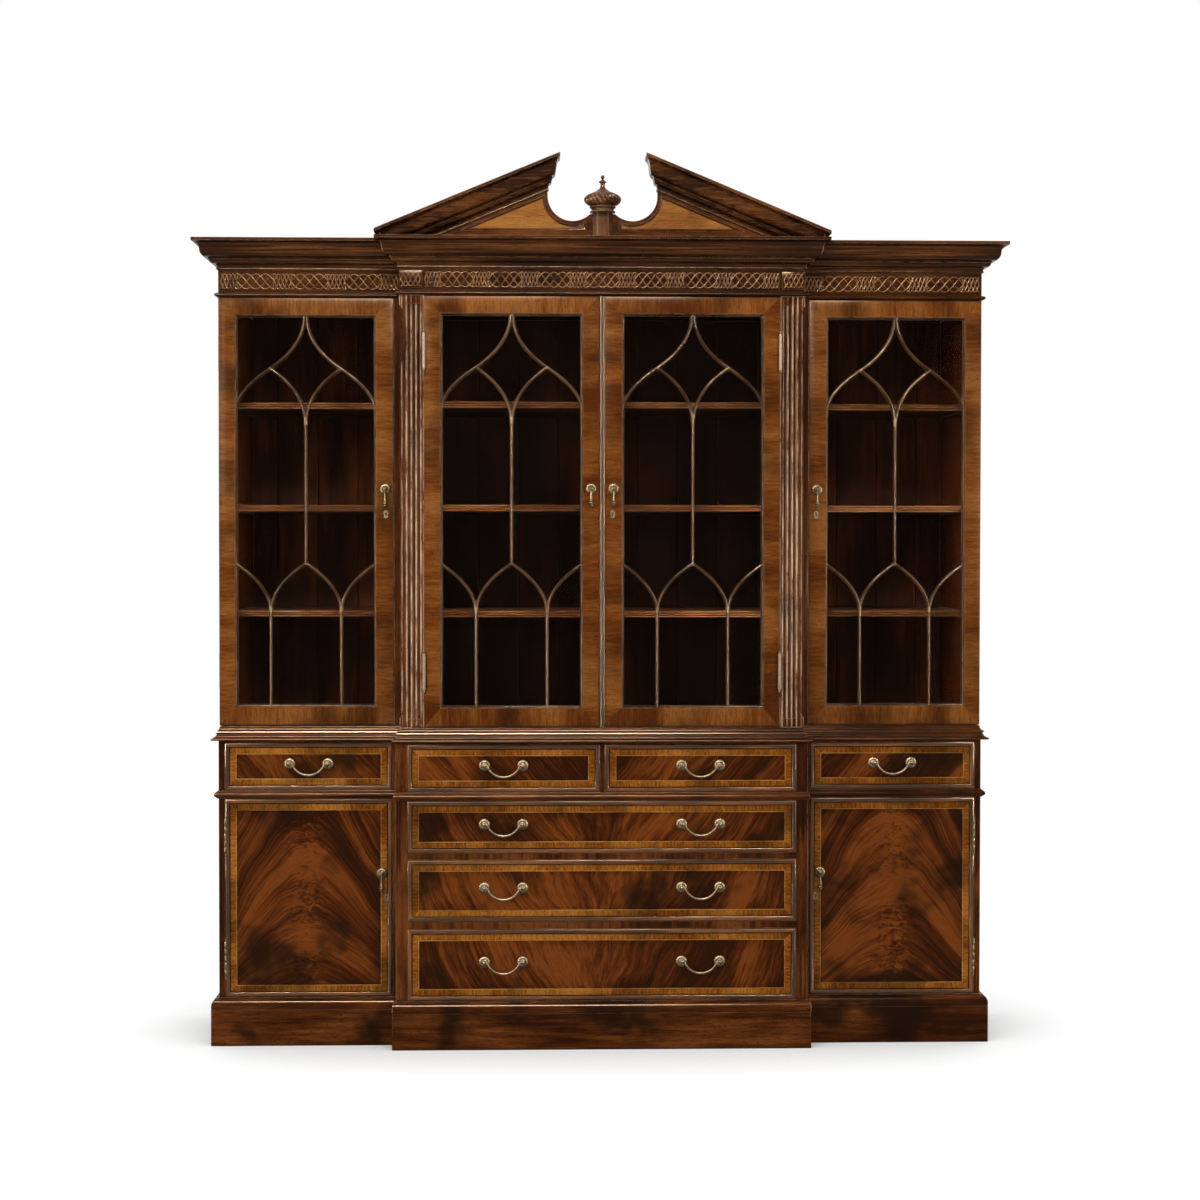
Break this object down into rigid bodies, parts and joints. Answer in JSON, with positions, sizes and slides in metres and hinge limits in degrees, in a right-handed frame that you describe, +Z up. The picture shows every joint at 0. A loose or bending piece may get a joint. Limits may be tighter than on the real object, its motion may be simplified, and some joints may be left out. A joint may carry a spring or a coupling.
{
  "type": "breakfront display cabinet",
  "caption": "Breakfront display cabinet: glazed shelves behind tracery doors, under a broken pediment with an urn, on a base of drawers and cupboards.",
  "frame": {"origin": "on the floor, under the middle of the cabinet's overall width and depth", "axes": "+Z up, the front faces -Y, +X to the right of someone facing the front"},
  "size_m": [2.218, 0.484, 2.4183],
  "materials": {
    "mahogany": "polished dark mahogany",
    "door_mahogany": "polished mahogany, crossbanded",
    "drawer_mahogany": "polished flame mahogany with stringing and crossbanding",
    "back_boards": "dull oiled boards",
    "antique_brass": "antique brass",
    "window_glass": "clear"
  },
  "bodies": {
    "cabinet_case": {"upper_left_carcass": "mahogany", "upper_centre_carcass": "mahogany", "upper_right_carcass": "mahogany", "upper_back_panel": "back_boards", "left_lower_shelf": "mahogany", "left_middle_shelf": "mahogany", "left_upper_shelf": "mahogany", "centre_lower_shelf": "mahogany", "centre_middle_shelf": "mahogany", "centre_upper_shelf": "mahogany", "right_lower_shelf": "mahogany", "right_middle_shelf": "mahogany", "right_upper_shelf": "mahogany", "frieze": "mahogany", "cornice": "mahogany", "tympanum": "mahogany", "left_raking_cornice": "mahogany", "right_raking_cornice": "mahogany", "finial": "mahogany", "base_left_carcass": "mahogany", "base_centre_carcass": "mahogany", "base_right_carcass": "mahogany", "base_back_panel": "back_boards", "waist_moulding": "mahogany", "surbase_top": "mahogany", "plinth": "mahogany"},
    "left_wing_door": {"left_wing_door": "door_mahogany", "left_wing_pane": "window_glass"},
    "left_wing_door_pull": {"left_wing_door_pull": "antique_brass"},
    "left_centre_door": {"left_centre_door": "door_mahogany", "left_centre_pane": "window_glass"},
    "left_centre_door_pull": {"left_centre_door_pull": "antique_brass"},
    "left_cupboard_door": {"left_cupboard_door": "drawer_mahogany"},
    "left_cupboard_pull": {"left_cupboard_pull": "antique_brass"},
    "right_wing_door": {"right_wing_door": "door_mahogany", "right_wing_pane": "window_glass"},
    "right_wing_door_pull": {"right_wing_door_pull": "antique_brass"},
    "right_centre_door": {"right_centre_door": "door_mahogany", "right_centre_pane": "window_glass"},
    "right_centre_door_pull": {"right_centre_door_pull": "antique_brass"},
    "right_cupboard_door": {"right_cupboard_door": "drawer_mahogany"},
    "right_cupboard_pull": {"right_cupboard_pull": "antique_brass"},
    "bottom_drawer": {"bottom_drawer": "drawer_mahogany"},
    "bottom_drawer_left_bail": {"bottom_drawer_left_bail": "antique_brass"},
    "bottom_drawer_right_bail": {"bottom_drawer_right_bail": "antique_brass"},
    "third_drawer": {"third_drawer": "drawer_mahogany"},
    "third_drawer_left_bail": {"third_drawer_left_bail": "antique_brass"},
    "third_drawer_right_bail": {"third_drawer_right_bail": "antique_brass"},
    "second_drawer": {"second_drawer": "drawer_mahogany"},
    "second_drawer_left_bail": {"second_drawer_left_bail": "antique_brass"},
    "second_drawer_right_bail": {"second_drawer_right_bail": "antique_brass"},
    "left_small_drawer": {"left_small_drawer": "drawer_mahogany"},
    "left_small_drawer_bail": {"left_small_drawer_bail": "antique_brass"},
    "left_wing_drawer": {"left_wing_drawer": "drawer_mahogany"},
    "left_wing_drawer_bail": {"left_wing_drawer_bail": "antique_brass"},
    "right_small_drawer": {"right_small_drawer": "drawer_mahogany"},
    "right_small_drawer_bail": {"right_small_drawer_bail": "antique_brass"},
    "right_wing_drawer": {"right_wing_drawer": "drawer_mahogany"},
    "right_wing_drawer_bail": {"right_wing_drawer_bail": "antique_brass"}
  },
  "joints": [
    {"name": "left_wing_door_hinge", "type": "hinge", "parent": "cabinet_case", "child": "left_wing_door", "pos_m": [-1.046, -0.09025, 0.8736], "axis": [0, 0, -1], "range_deg": [0, 100]},
    {"name": "left_wing_door_pull_swing", "type": "hinge", "parent": "left_wing_door", "child": "left_wing_door_pull", "pos_m": [-0.592, -0.1255, 1.5206], "axis": [-1, 0, 0], "range_deg": [0, 70]},
    {"name": "left_centre_door_hinge", "type": "hinge", "parent": "cabinet_case", "child": "left_centre_door", "pos_m": [-0.48325, -0.181, 0.8736], "axis": [0, 0, -1], "range_deg": [0, 100]},
    {"name": "left_centre_door_pull_swing", "type": "hinge", "parent": "left_centre_door", "child": "left_centre_door_pull", "pos_m": [-0.03053, -0.1885, 1.5206], "axis": [-1, 0, 0], "range_deg": [0, 70]},
    {"name": "left_cupboard_door_hinge", "type": "hinge", "parent": "cabinet_case", "child": "left_cupboard_door", "pos_m": [-1.02825, -0.131, 0.1325], "axis": [0, 0, -1], "range_deg": [0, 100]},
    {"name": "left_cupboard_pull_swing", "type": "hinge", "parent": "left_cupboard_door", "child": "left_cupboard_pull", "pos_m": [-0.602, -0.1385, 0.468], "axis": [-1, 0, 0], "range_deg": [0, 70]},
    {"name": "right_wing_door_hinge", "type": "hinge", "parent": "cabinet_case", "child": "right_wing_door", "pos_m": [1.046, -0.09025, 0.8736], "axis": [0, 0, 1], "range_deg": [0, 100]},
    {"name": "right_wing_door_pull_swing", "type": "hinge", "parent": "right_wing_door", "child": "right_wing_door_pull", "pos_m": [0.592, -0.1255, 1.5206], "axis": [-1, 0, 0], "range_deg": [0, 70]},
    {"name": "right_centre_door_hinge", "type": "hinge", "parent": "cabinet_case", "child": "right_centre_door", "pos_m": [0.48325, -0.181, 0.8736], "axis": [0, 0, 1], "range_deg": [0, 100]},
    {"name": "right_centre_door_pull_swing", "type": "hinge", "parent": "right_centre_door", "child": "right_centre_door_pull", "pos_m": [0.03053, -0.1885, 1.5206], "axis": [-1, 0, 0], "range_deg": [0, 70]},
    {"name": "right_cupboard_door_hinge", "type": "hinge", "parent": "cabinet_case", "child": "right_cupboard_door", "pos_m": [1.02825, -0.131, 0.1325], "axis": [0, 0, 1], "range_deg": [0, 100]},
    {"name": "right_cupboard_pull_swing", "type": "hinge", "parent": "right_cupboard_door", "child": "right_cupboard_pull", "pos_m": [0.602, -0.1385, 0.468], "axis": [-1, 0, 0], "range_deg": [0, 70]},
    {"name": "bottom_drawer_slide", "type": "slide", "parent": "cabinet_case", "child": "bottom_drawer", "axis": [0, -1, 0], "range_m": [0, 0.32]},
    {"name": "bottom_drawer_left_bail_swing", "type": "hinge", "parent": "bottom_drawer", "child": "bottom_drawer_left_bail", "pos_m": [-0.268, -0.2035, 0.23575], "axis": [-1, 0, 0], "range_deg": [0, 80]},
    {"name": "bottom_drawer_right_bail_swing", "type": "hinge", "parent": "bottom_drawer", "child": "bottom_drawer_right_bail", "pos_m": [0.268, -0.2035, 0.23575], "axis": [-1, 0, 0], "range_deg": [0, 80]},
    {"name": "third_drawer_slide", "type": "slide", "parent": "cabinet_case", "child": "third_drawer", "axis": [0, -1, 0], "range_m": [0, 0.32]},
    {"name": "third_drawer_left_bail_swing", "type": "hinge", "parent": "third_drawer", "child": "third_drawer_left_bail", "pos_m": [-0.268, -0.2035, 0.43775], "axis": [-1, 0, 0], "range_deg": [0, 80]},
    {"name": "third_drawer_right_bail_swing", "type": "hinge", "parent": "third_drawer", "child": "third_drawer_right_bail", "pos_m": [0.268, -0.2035, 0.43775], "axis": [-1, 0, 0], "range_deg": [0, 80]},
    {"name": "second_drawer_slide", "type": "slide", "parent": "cabinet_case", "child": "second_drawer", "axis": [0, -1, 0], "range_m": [0, 0.32]},
    {"name": "second_drawer_left_bail_swing", "type": "hinge", "parent": "second_drawer", "child": "second_drawer_left_bail", "pos_m": [-0.268, -0.2035, 0.61075], "axis": [-1, 0, 0], "range_deg": [0, 80]},
    {"name": "second_drawer_right_bail_swing", "type": "hinge", "parent": "second_drawer", "child": "second_drawer_right_bail", "pos_m": [0.268, -0.2035, 0.61075], "axis": [-1, 0, 0], "range_deg": [0, 80]},
    {"name": "left_small_drawer_slide", "type": "slide", "parent": "cabinet_case", "child": "left_small_drawer", "axis": [0, -1, 0], "range_m": [0, 0.32]},
    {"name": "left_small_drawer_bail_swing", "type": "hinge", "parent": "left_small_drawer", "child": "left_small_drawer_bail", "pos_m": [-0.26745, -0.2035, 0.7705], "axis": [-1, 0, 0], "range_deg": [0, 80]},
    {"name": "left_wing_drawer_slide", "type": "slide", "parent": "cabinet_case", "child": "left_wing_drawer", "axis": [0, -1, 0], "range_m": [0, 0.27]},
    {"name": "left_wing_drawer_bail_swing", "type": "hinge", "parent": "left_wing_drawer", "child": "left_wing_drawer_bail", "pos_m": [-0.801, -0.1405, 0.7705], "axis": [-1, 0, 0], "range_deg": [0, 80]},
    {"name": "right_small_drawer_slide", "type": "slide", "parent": "cabinet_case", "child": "right_small_drawer", "axis": [0, -1, 0], "range_m": [0, 0.32]},
    {"name": "right_small_drawer_bail_swing", "type": "hinge", "parent": "right_small_drawer", "child": "right_small_drawer_bail", "pos_m": [0.26745, -0.2035, 0.7705], "axis": [-1, 0, 0], "range_deg": [0, 80]},
    {"name": "right_wing_drawer_slide", "type": "slide", "parent": "cabinet_case", "child": "right_wing_drawer", "axis": [0, -1, 0], "range_m": [0, 0.27]},
    {"name": "right_wing_drawer_bail_swing", "type": "hinge", "parent": "right_wing_drawer", "child": "right_wing_drawer_bail", "pos_m": [0.801, -0.1405, 0.7705], "axis": [-1, 0, 0], "range_deg": [0, 80]}
  ]
}
